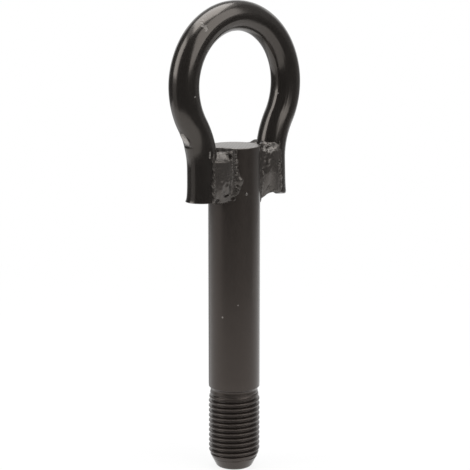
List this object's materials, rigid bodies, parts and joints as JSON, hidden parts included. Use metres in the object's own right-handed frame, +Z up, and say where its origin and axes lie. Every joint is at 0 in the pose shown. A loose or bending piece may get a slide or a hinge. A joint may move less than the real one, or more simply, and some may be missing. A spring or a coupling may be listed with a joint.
{
  "type": "tow eye",
  "caption": "Screw-in vehicle tow eye: a round rod bent to a loop and welded to the sides of a turned shank with a threaded end, painted black.",
  "frame": {"origin": "on the shank's axis, at the top of the thread", "axes": "+Z up the shank from the thread to the eye, X across the loop, -Y towards the front"},
  "size_m": [0.0632, 0.02, 0.1822],
  "materials": {
    "shank_paint": "satin warm black paint on turned steel",
    "eye_paint": "glossy black paint on bent steel rod",
    "weld_paint": "glossy black paint on rough weld bead"
  },
  "bodies": {
    "root": {"shank": "shank_paint", "eye": "eye_paint", "weld_front_left": "weld_paint", "weld_front_right": "weld_paint", "weld_back_left": "weld_paint", "weld_back_right": "weld_paint"}
  },
  "joints": []
}
